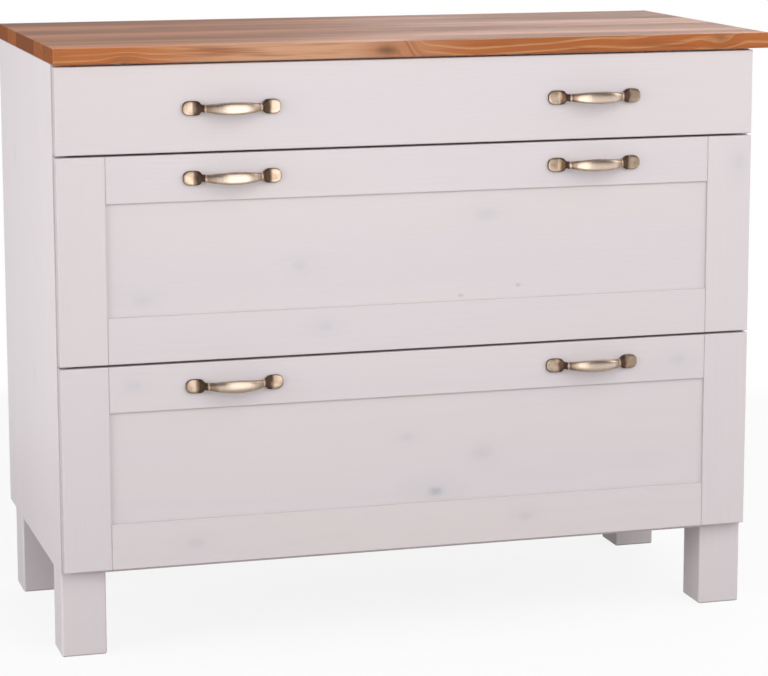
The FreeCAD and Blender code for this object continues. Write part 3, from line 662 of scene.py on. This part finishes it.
def makeHoneyPine():
    setup = worktopSetup
    material, tree, shader = startMaterial("honeyPine")
    place = objectPlace(tree)
    bent, core, halo = addKnots(tree, place, setup["knots"], setup["knotReach"])
    parts = split(tree, place)
    facing = split(tree, texCoord(tree, "Normal"))
    upper = span(tree, facing["Z"], *setup["faceTurn"])
    endGrain = span(tree, calc(tree, "ABSOLUTE", facing["X"]), *setup["faceTurn"])

    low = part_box("worktop")[0]
    inward = calc(tree, "MAXIMUM", calc(tree, "SUBTRACT", parts["Y"], low.y), -0.5 * setup["lip"])
    stave = calc(tree, "DIVIDE", calc(tree, "ADD", inward, setup["lip"]), setup["staveWidth"])
    index = calc(tree, "FLOOR", stave)
    chance = addNode(tree, "ShaderNodeTexWhiteNoise", {"W": index}, noise_dimensions="1D").outputs["Color"]
    chanceParts = addNode(tree, "ShaderNodeSeparateColor", {"Color": chance}).outputs
    jump = calcVector(tree, "MULTIPLY", chance, setup["staveJump"])

    curlFrom, curlTo, curlPush = setup["curl"]
    nearFront = span(tree, inward, *setup["frontReach"], 1.0, 0.0)
    curl = calc(tree, "MULTIPLY", nearFront, span(tree, parts["X"], curlFrom, curlTo, 0.0, curlPush))
    push = addNode(tree, "ShaderNodeCombineXYZ", {"Z": curl})
    bent = calcVector(tree, "ADD", bent, push.outputs[0])
    grain = useGroup(tree, pineGrain, {"Vector": calcVector(tree, "ADD", bent, jump), "Pith": setup["pith"],
                                       "RingGap": setup["ringGap"], "Warp": setup["warp"]})

    stain = layer(tree, grain["Tone"], setup["deepByTone"], setup["early"], setup["deep"])
    stain = layer(tree, chanceParts[1], setup["deepByStave"], stain, setup["deep"])
    # painted highlight: a lighter stretch of stain along the front edge
    middle, reach = setup["paintedHighlightZone"]
    offset = calc(tree, "ABSOLUTE", calc(tree, "SUBTRACT", parts["X"], middle))
    fadeFrom, fadeTo, *shares = setup["paintedHighlightFade"]
    highlightShare = span(tree, offset, fadeFrom * reach, fadeTo * reach, *shares)
    stain = layer(tree, nearFront, highlightShare, stain, setup["pale"])
    lines = calc(tree, "MULTIPLY", span(tree, grain["Late"], *setup["lateRange"]),
                 span(tree, facing["Z"], *setup["faceTurn"], 1.0, setup["lateOnTop"]))
    fine = calc(tree, "MULTIPLY_ADD", grain["Fibre"], *setup["lateByFibre"])
    stain = layer(tree, lines, fine, stain, setup["late"])
    stain = layer(tree, grain["Streak"], setup["deepByStreak"], stain, setup["deep"])
    stain = layer(tree, halo, setup["deepByHalo"], stain, setup["deep"])
    stain = layer(tree, core, setup["knotShare"], stain, setup["knot"])
    joint = calc(tree, "ABSOLUTE", calc(tree, "SUBTRACT", calc(tree, "FRACT", stave), 0.5))
    stain = layer(tree, span(tree, joint, *setup["seam"]), setup["seamShare"], stain, setup["knot"])
    sawn = span(tree, facing["Y"], *setup["edgeTurn"], setup["edgeStain"], 0.0)
    stain = tint(tree, sawn, stain, setup["knot"])
    # ends: darker end-grain stain and painted shade
    endSoakAndShade = calc(tree, "MULTIPLY_ADD", chanceParts[0], *setup["endByStave"])
    stain = layer(tree, endGrain, endSoakAndShade, stain, setup["end"])
    # painted sheen and shade on the upper face
    topSheenShare = calc(tree, "MULTIPLY_ADD", grain["Tone"], *setup["paintedTopSheenByTone"])
    stain = layer(tree, upper, topSheenShare, stain, setup["paintedTopSheenAndShade"])
    stain = layer(tree, wearMask(tree, place, *setup["wear"]), setup["wornShare"], stain, setup["worn"])

    satin = finishWood(tree, shader, stain, grain, setup)
    satin = calc(tree, "MULTIPLY_ADD", grain["Tone"], setup["cloudy"], satin)
    feed(tree, mixValue(tree, endGrain, satin, setup["endRoughness"]), shader["Roughness"])
    shader["Specular IOR Level"].default_value = setup["specular"]
    return material


def addWorktop():
    setup = worktopSetup
    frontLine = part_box("worktop")[0].y
    bm = bmesh.new()
    bm.from_mesh(nodes["worktop"].data)
    bmesh.ops.remove_doubles(bm, verts=bm.verts, dist=setup["weld"])
    lip = [vert for vert in bm.verts if vert.co.y < frontLine + setup["lipBand"]]
    bmesh.ops.translate(bm, verts=lip, vec=(0, -setup["lip"], 0))
    mesh = bpy.data.meshes.new("honeyWorktop")
    bm.to_mesh(mesh)
    bm.free()
    mesh.materials.append(makeHoneyPine())
    worktop = bpy.data.objects.new("honeyWorktop", mesh)
    scene.collection.objects.link(worktop)
    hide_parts("worktop")
    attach(worktop, "carcass")
    print("worktop stained:", len(mesh.vertices), "points,", len(lip), "in its lip")


addWorktop()


# inside: bare drawer pine, faced hardboard, beech dowels

drawerPineSetup = {
    "early": (0.71, 0.52, 0.315, 1.0),
    "warm": (0.66, 0.45, 0.245, 1.0),
    "late": (0.53, 0.305, 0.135, 1.0),
    "lateShare": 0.55,
    "streakShare": 0.25,
    "haloShare": 0.3,
    "knot": (0.25, 0.12, 0.055, 1.0),
    "knotShare": 0.75,
    "knotSize": 0.007,
    "knotPlaces": (0.3, 0.5, 0.7),   # between the low and the high corner of each board
    "poreShare": 0.10,
    "firstSeed": 31,
    "pith": (0.0, 0.06, 0.30),
    "ringGap": 0.0048,
    "warp": 0.018,
    "roughness": (0.50, 0.66),
    "fibreRelief": 0.6,
    "grainDepth": 0.00015,
}

boxGrain = {"side_left": (1, 0, 2), "side_right": (1, 0, 2), "back": (0, 1, 2)}


def makeDrawerPine(name, axes, seed, knots):
    setup = drawerPineSetup
    material, tree, shader = startMaterial("drawerPine_" + name)
    place = turnedPlace(tree, axes)
    bent, core, halo = addKnots(tree, place, knots)
    grain = boardGrain(tree, bent, seed, setup)
    wood = tint(tree, grain["Tone"], setup["early"], setup["warm"])
    wood = layer(tree, grain["Late"], setup["lateShare"], wood, setup["late"])
    wood = layer(tree, grain["Streak"], setup["streakShare"], wood, setup["late"])
    pores = calc(tree, "SUBTRACT", 1.0, grain["Fibre"])
    wood = layer(tree, pores, setup["poreShare"], wood, setup["knot"])
    wood = layer(tree, halo, setup["haloShare"], wood, setup["late"])
    wood = layer(tree, core, setup["knotShare"], wood, setup["knot"])
    finishWood(tree, shader, wood, grain, setup)
    return material


def dressDrawerBoxes():
    setup = drawerPineSetup
    seed = setup["firstSeed"]
    for drawer in drawers:
        for (board, axes), share in zip(boxGrain.items(), setup["knotPlaces"]):
            node = f"drawer_{drawer}_{board}"
            low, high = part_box(node)
            spot = low.lerp(high, share)
            knots = [((spot[axes[0]], 0.0, spot[axes[2]]), setup["knotSize"])]
            dress(node, makeDrawerPine(node, axes, seed, knots))
            seed += 1


dressDrawerBoxes()

hardboardSetup = {
    "mottle": (7.0, 520.0),   # coarse and fine
    "wear": (0.0012, 90.0),   # width and breakup
    "body": (0.72, 0.69, 0.635, 1.0),
    "layers": [   # mask, share and colour
        ("broad", 1.0, (0.69, 0.655, 0.595, 1.0)),
        ("grit", 0.16, (0.46, 0.37, 0.27, 1.0)),
        ("wear", 0.7, (0.46, 0.37, 0.27, 1.0)),
    ],
    "roughBy": "broad",
    "roughness": (0.52, 0.66),
    "depth": 0.00008,
}


def makeMottled(name, setup):
    material, tree, shader = startMaterial(name)
    place = objectPlace(tree)
    spread = addMottle(tree, place, *setup["mottle"])
    masks = {"broad": spread["Broad"], "grit": spread["Grit"]}
    if "wear" in setup:
        masks["wear"] = wearMask(tree, place, *setup["wear"])
    if "chipped" in setup:
        masks["wear"] = span(tree, masks["wear"], *setup["chipped"])
    colour = setup["body"]
    for mask, share, over in setup["layers"]:
        colour = layer(tree, masks[mask], share, colour, over)
    feed(tree, colour, shader["Base Color"])
    shader["Metallic"].default_value = setup.get("metallic", 0.0)
    feed(tree, span(tree, masks[setup["roughBy"]], 0.0, 1.0, *setup["roughness"]), shader["Roughness"])
    feed(tree, addBump(tree, masks["grit"], setup["depth"]), shader["Normal"])
    return material


facedHardboard = makeMottled("facedHardboard", hardboardSetup)
for node in ("back_panel", "drawer_top_bottom", "drawer_middle_bottom", "drawer_bottom_bottom"):
    dress(node, facedHardboard)

beechSetup = {
    "mottle": (60.0, 900.0),
    "wood": (0.60, 0.40, 0.24, 1.0),
    "dark": (0.46, 0.28, 0.15, 1.0),
    "fleck": (0.34, 0.19, 0.10, 1.0),
    "fleckScales": (160.0, 1400.0, 1400.0),
    "fleckContrast": (0.58, 0.7, 0.0, 0.5),
    "roughness": (0.5, 0.65),
    "depth": 0.0001,
}


def makeBeech():
    setup = beechSetup
    material, tree, shader = startMaterial("beechRod")
    place = objectPlace(tree)
    spread = addMottle(tree, place, *setup["mottle"])
    fleck = stretchedNoise(tree, place, setup["fleckScales"])[0]
    wood = tint(tree, spread["Broad"], setup["wood"], setup["dark"])
    wood = tint(tree, span(tree, fleck, *setup["fleckContrast"]), wood, setup["fleck"])
    feed(tree, wood, shader["Base Color"])
    feed(tree, span(tree, spread["Grit"], 0.0, 1.0, *setup["roughness"]), shader["Roughness"])
    feed(tree, addBump(tree, fleck, setup["depth"]), shader["Normal"])
    return material


dress("carcass_dowels", makeBeech())
print("drawer boxes, back and dowels finished")


# runners, rollers and screws

runnerSetup = {
    "mottle": (18.0, 800.0),
    "wear": (0.0007, 220.0),
    "chipped": (0.7, 1.0),   # paint is off where the edge is worn most
    "body": (0.76, 0.735, 0.675, 1.0),
    "layers": [("broad", 1.0, (0.70, 0.67, 0.60, 1.0)), ("wear", 0.5, (0.42, 0.41, 0.40, 1.0))],
    "roughBy": "grit",
    "roughness": (0.30, 0.40),
    "depth": 0.00004,
}

nylonSetup = {
    "mottle": (160.0, 1500.0),
    "wear": (0.0009, 300.0),
    "body": (0.70, 0.70, 0.66, 1.0),
    "layers": [("broad", 0.5, (0.56, 0.55, 0.50, 1.0)), ("wear", 0.4, (0.56, 0.55, 0.50, 1.0))],
    "roughBy": "grit",
    "roughness": (0.36, 0.5),
    "depth": 0.00003,
}

zincSetup = {
    "mottle": (260.0, 1800.0),
    "body": (0.66, 0.67, 0.68, 1.0),
    "layers": [("broad", 1.0, (0.45, 0.45, 0.44, 1.0)), ("grit", 0.25, (0.62, 0.58, 0.48, 1.0))],
    "metallic": 1.0,
    "roughBy": "grit",
    "roughness": (0.24, 0.42),
    "depth": 0.00003,
}

runnerPaint = makeMottled("creamRunnerPaint", runnerSetup)
rollerNylon = makeMottled("rollerNylon", nylonSetup)
zincPlate = makeMottled("zincPlate", zincSetup)
for drawer in drawers:
    for half in ("cabinet", "drawer"):
        dress(f"{half}_runners_{drawer}", runnerPaint)
        dress(f"{half}_rollers_{drawer}", rollerNylon)
    dress(f"handle_screws_{drawer}", zincPlate)
for node in ("leg_bolts", "worktop_screws"):
    dress(node, zincPlate)
print("runners and fasteners finished")


# cast bow handles in antique brass

handleSetup = {
    "halfSpacing": 0.048,
    "rise": 0.0238,   # bow's middle line in front of the drawer face
    "bowPower": 2.6,
    "ringPoints": 36,
    "gripSteps": 10,
    "gripHeight": 0.0170,
    "gripEnd": 0.0094,
    "gripThickness": 0.0080,
    "gripThinning": 0.1,
    "gripSquare": 2.6,
    "collarReach": 0.80,   # in shares of the half spacing
    "collarHalf": 0.022,
    "collarClear": 1.3,   # in collar halves, from its middle to the last ring of the grip
    "collarSize": (0.0110, 0.0090),
    "foot": [   # neck to outer end: x, middle y, turn in degrees, height, thickness, squareness
        (0.0408, -0.00840, 43, 0.0094, 0.0072, 2.6),
        (0.0423, -0.00650, 26, 0.0102, 0.0084, 2.8),
        (0.0436, -0.00470, 8, 0.0132, 0.0102, 3.0),
        (0.0450, -0.00430, 0, 0.0166, 0.0094, 3.2),
        (0.0470, -0.00385, 0, 0.0189, 0.0085, 3.4),
        (0.0500, -0.00320, 0, 0.0198, 0.0072, 3.8),
        (0.0530, -0.00250, 0, 0.0200, 0.0059, 4.6),
        (0.0542, -0.00230, 0, 0.0200, 0.0056, 5.0),
        (0.0575, -0.00225, 0, 0.0200, 0.0055, 5.0),
        (0.0598, -0.00225, 0, 0.0197, 0.0055, 5.0),
        (0.0618, -0.00225, 0, 0.0189, 0.0055, 5.0),
        (0.0638, -0.00220, 0, 0.0173, 0.0054, 5.0),
        (0.0656, -0.00215, 0, 0.0146, 0.0053, 5.0),
        (0.0670, -0.00200, 0, 0.0110, 0.0050, 5.0),
        (0.0679, -0.00180, 0, 0.0068, 0.0046, 5.0),
    ],
    "voxel": 0.00045,
    "relaxSteps": 3,
    "relaxFactor": 0.5,
}


def bowRing(reach, height, thickness):
    setup = handleSetup
    power = setup["bowPower"]
    y = -setup["rise"] * (1.0 - reach ** power)
    slope = setup["rise"] * power * reach ** (power - 1) / setup["halfSpacing"]
    turn = math.degrees(math.atan(slope))
    return (reach * setup["halfSpacing"], y, turn, height, thickness, setup["gripSquare"])


def handleRings():
    setup = handleSetup
    collar, half = setup["collarReach"], setup["collarHalf"]
    right = []
    for step in range(setup["gripSteps"]):
        reach = (collar - setup["collarClear"] * half) * step / (setup["gripSteps"] - 1)
        share = (reach / collar) ** 2
        height = setup["gripHeight"] + (setup["gripEnd"] - setup["gripHeight"]) * share
        right.append(bowRing(reach, height, setup["gripThickness"] * (1 - setup["gripThinning"] * share)))
    right += [bowRing(collar + offset * half, *setup["collarSize"]) for offset in (-1, 0, 1)]
    right += setup["foot"]
    left = [(-x, y, -turn, *rest) for x, y, turn, *rest in reversed(right[1:])]
    return left + right


def superPoint(turn, power, thickness, height):
    bulge = (abs(math.cos(turn)) ** power + abs(math.sin(turn)) ** power) ** (-1 / power)
    return Vector((math.cos(turn) * bulge * thickness / 2, math.sin(turn) * bulge * height / 2, 0.0))


def ringFrame(x, y, turn):
    along = Vector((math.cos(math.radians(turn)), math.sin(math.radians(turn)), 0.0))
    out = Vector((along.y, -along.x, 0.0))
    return Matrix.Translation((x, y, 0.0)) @ Matrix((out, Vector((0, 0, 1)), along)).transposed().to_4x4()


def nextRing(grown, ring):
    fresh = {item for item in grown if isinstance(item, bmesh.types.BMVert)}
    return [next(edge.other_vert(vert) for edge in vert.link_edges if edge.other_vert(vert) in fresh)
            for vert in ring]


def addCasting(bm):
    ring = bmesh.ops.create_circle(bm, segments=handleSetup["ringPoints"], radius=1.0)["verts"]
    turns = [math.atan2(vert.co.y, vert.co.x) for vert in ring]
    edges = list({edge for vert in ring for edge in vert.link_edges})
    first = ring
    for step, (x, y, turn, height, thickness, power) in enumerate(handleRings()):
        if step:
            grown = bmesh.ops.extrude_edge_only(bm, edges=edges)["geom"]
            edges = [item for item in grown
                     if isinstance(item, bmesh.types.BMEdge) and len(item.link_faces) == 1]
            ring = nextRing(grown, ring)
        place = ringFrame(x, y, turn)
        for vert, angle in zip(ring, turns):
            vert.co = place @ superPoint(angle, power, thickness, height)
    for loop in (first, ring):
        bmesh.ops.contextual_create(bm, geom=loop)


def meltPattern(mesh):
    pattern = bpy.data.objects.new("handlePattern", mesh)
    scene.collection.objects.link(pattern)
    melt = pattern.modifiers.new("melt", "REMESH")
    melt.mode = "VOXEL"
    melt.voxel_size = handleSetup["voxel"]
    melt.adaptivity = 0.0
    relax = pattern.modifiers.new("relax", "SMOOTH")
    relax.factor = handleSetup["relaxFactor"]
    relax.iterations = handleSetup["relaxSteps"]
    bpy.context.view_layer.update()
    melted = pattern.evaluated_get(bpy.context.evaluated_depsgraph_get())
    cast = bpy.data.meshes.new_from_object(melted)
    bpy.data.objects.remove(pattern)
    return cast


def castHandle():
    mesh = bpy.data.meshes.new("handlePattern")
    bm = bmesh.new()
    addCasting(bm)
    bmesh.ops.recalc_face_normals(bm, faces=bm.faces)
    bm.to_mesh(mesh)
    bm.free()
    cast = meltPattern(mesh)
    bm = bmesh.new()
    bm.from_mesh(cast)
    bmesh.ops.bisect_plane(bm, geom=[*bm.verts, *bm.edges, *bm.faces], plane_co=(0, 0, 0),
                           plane_no=(0, 1, 0), clear_outer=True)
    bmesh.ops.holes_fill(bm, edges=[edge for edge in bm.edges if edge.is_boundary], sides=0)
    bmesh.ops.recalc_face_normals(bm, faces=bm.faces)
    for face in bm.faces:
        face.smooth = True
    bm.to_mesh(cast)
    bm.free()
    markRub(cast)
    return cast


rubSetup = {   # where hands keep the brass bright; reaches in shares of the half spacing
    "gripReach": 0.86,
    "gripPower": 4,
    "gripShares": (0.3, 0.7),   # everywhere, and more where it faces out
    "collarShare": 0.9,
    "collarWidth": 0.03,
    "footShare": 0.60,
    "footFrom": 1.0,
    "footRamp": 0.16,
}


def markRub(mesh):
    setup = rubSetup
    everywhere, outward = setup["gripShares"]
    rub = mesh.attributes.new("rub", "FLOAT", "POINT")
    for vert in mesh.vertices:
        far = abs(vert.co.x) / handleSetup["halfSpacing"]
        facing = max(-vert.normal.y, 0.0)
        grip = max(0.0, 1 - (far / setup["gripReach"]) ** setup["gripPower"])
        grip *= everywhere + outward * facing
        past = (far - handleSetup["collarReach"]) / setup["collarWidth"]
        collar = setup["collarShare"] * math.exp(-past ** 2)
        ramp = max(0.0, min(1.0, (far - setup["footFrom"]) / setup["footRamp"]))
        foot = setup["footShare"] * facing * ramp
        rub.data[vert.index].value = min(1.0, max(grip, collar, foot))


brassSetup = {
    "rubbed": (0.80, 0.650, 0.530, 1.0),
    "rubbedFrom": (0.40, 0.92),
    "body": (0.46, 0.333, 0.236, 1.0),
    "bodyFrom": (0.05, 0.42),
    "patina": (0.120, 0.075, 0.050, 1.0),
    "mottle": (90.0, 1300.0),
    "patchy": (0.24, -0.12),   # gain and base
    "wear": (0.0012, 350.0),   # width and breakup
    "wearShare": 0.25,
    "brushScales": (45.0, 1500.0, 1500.0),
    "brushMarks": (0.45, 0.75, 0.0, 0.22),
    "gritShare": 0.10,
    "roughness": (0.1, 0.9, 0.42, 0.33),   # from dull to polished
    "relief": (0.000015, 0.5),   # depth and strength
}


def makeBrass():
    setup = brassSetup
    material, tree, shader = startMaterial("antiqueBrass")
    place = objectPlace(tree)
    spread = addMottle(tree, place, *setup["mottle"])
    rub = addNode(tree, "ShaderNodeAttribute", attribute_name="rub").outputs["Fac"]
    edge = calc(tree, "MULTIPLY", wearMask(tree, place, *setup["wear"]), setup["wearShare"])
    polish = calc(tree, "ADD", rub, calc(tree, "MULTIPLY_ADD", spread["Broad"], *setup["patchy"]))
    polish = calc(tree, "ADD", polish, edge, clamp=True)
    metal = tint(tree, span(tree, polish, *setup["bodyFrom"]), setup["patina"], setup["body"])
    metal = tint(tree, span(tree, polish, *setup["rubbedFrom"]), metal, setup["rubbed"])
    brushed = stretchedNoise(tree, place, setup["brushScales"])[0]
    metal = tint(tree, span(tree, brushed, *setup["brushMarks"]), metal, setup["patina"])
    metal = layer(tree, spread["Grit"], setup["gritShare"], metal, setup["patina"])
    feed(tree, metal, shader["Base Color"])
    shader["Metallic"].default_value = 1.0
    feed(tree, span(tree, polish, *setup["roughness"]), shader["Roughness"])
    height = calc(tree, "ADD", spread["Grit"], brushed)
    feed(tree, addBump(tree, height, *setup["relief"]), shader["Normal"])
    return material


handlePattern = castHandle()
antiqueBrass = makeBrass()
for drawer in drawers:
    for side in ("left", "right"):
        node = f"handle_{drawer}_{side}"
        low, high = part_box(node)
        mesh = handlePattern.copy()
        mesh.transform(Matrix.Translation(((low.x + high.x) / 2, high.y, (low.z + high.z) / 2)))
        mesh.materials.clear()
        mesh.materials.append(antiqueBrass)
        handle = bpy.data.objects.new(f"bowHandle_{drawer}_{side}", mesh)
        scene.collection.objects.link(handle)
        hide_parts(node)
        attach(handle, f"drawer_{drawer}")
print("handles cast:", len(handlePattern.polygons), "faces each")


# back nails and runner screws

headSetup = {"segments": 16, "taper": 0.72, "recessRim": 0.22}   # taper and rim in shares of the radius
nailSetup = {"radius": 0.0024, "height": 0.0007, "recess": 0.0, "sunk": 0.0003, "edge": 0.0045, "gap": 0.12}
screwSetup = {"radius": 0.0036, "height": 0.0010, "recess": 0.0005, "endMargin": 0.060, "sheet": 0.0012}


def addHead(bm, place, axis, setup):
    before = set(bm.verts)
    radius, taper = setup["radius"], headSetup["taper"]
    turn = Vector((0, 0, 1)).rotation_difference(Vector(axis)).to_matrix()
    disc = bmesh.ops.create_circle(bm, cap_ends=True, segments=headSetup["segments"], radius=radius)
    face = disc["verts"][0].link_faces[0]
    grown = bmesh.ops.extrude_face_region(bm, geom=[face])["geom"]
    rim = [item for item in grown if isinstance(item, bmesh.types.BMVert)]
    bmesh.ops.translate(bm, verts=rim, vec=(0, 0, setup["height"]))
    bmesh.ops.scale(bm, verts=rim, vec=(taper, taper, 1.0))
    if setup["recess"]:
        top = next(item for item in grown if isinstance(item, bmesh.types.BMFace))
        bmesh.ops.inset_region(bm, faces=[top], thickness=radius * headSetup["recessRim"], depth=0)
        bmesh.ops.translate(bm, verts=top.verts[:], vec=(0, 0, -setup["recess"]))
    head = [vert for vert in bm.verts if vert not in before]
    bmesh.ops.rotate(bm, verts=head, cent=(0, 0, 0), matrix=turn)
    bmesh.ops.translate(bm, verts=head, vec=place)


def finishPiece(name, bm, material, body):
    bmesh.ops.recalc_face_normals(bm, faces=bm.faces)
    mesh = bpy.data.meshes.new(name)
    bm.to_mesh(mesh)
    bm.free()
    mesh.materials.append(material)
    piece = bpy.data.objects.new(name, mesh)
    scene.collection.objects.link(piece)
    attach(piece, body)


def addBackNails():
    setup = nailSetup
    low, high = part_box("back_panel")
    edge = setup["edge"]
    bm = bmesh.new()
    rows = max(2, round((high.z - low.z) / setup["gap"]))
    columns = max(2, round((high.x - low.x) / setup["gap"]))
    places = [(x, low.z + edge + (high.z - low.z - 2 * edge) * row / rows)
              for x in (low.x + edge, high.x - edge) for row in range(rows + 1)]
    places += [(low.x + edge + (high.x - low.x - 2 * edge) * column / columns, z)
               for z in (low.z + edge, high.z - edge) for column in range(1, columns)]
    for x, z in places:
        addHead(bm, (x, high.y - setup["sunk"], z), (0, 1, 0), setup)
    finishPiece("backNails", bm, zincPlate, "carcass")


def addRunnerScrews():
    setup = screwSetup
    bm = bmesh.new()
    for drawer in drawers:
        low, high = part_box(f"cabinet_runners_{drawer}")
        z = (low.z + high.z) / 2
        for x, side in ((low.x + setup["sheet"], 1), (high.x - setup["sheet"], -1)):
            for y in (low.y + setup["endMargin"], high.y - setup["endMargin"]):
                addHead(bm, (x, y, z), (side, 0, 0), setup)
    finishPiece("runnerScrews", bm, zincPlate, "carcass")


addBackNails()
addRunnerScrews()
print("nails and screws set")

low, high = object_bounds()
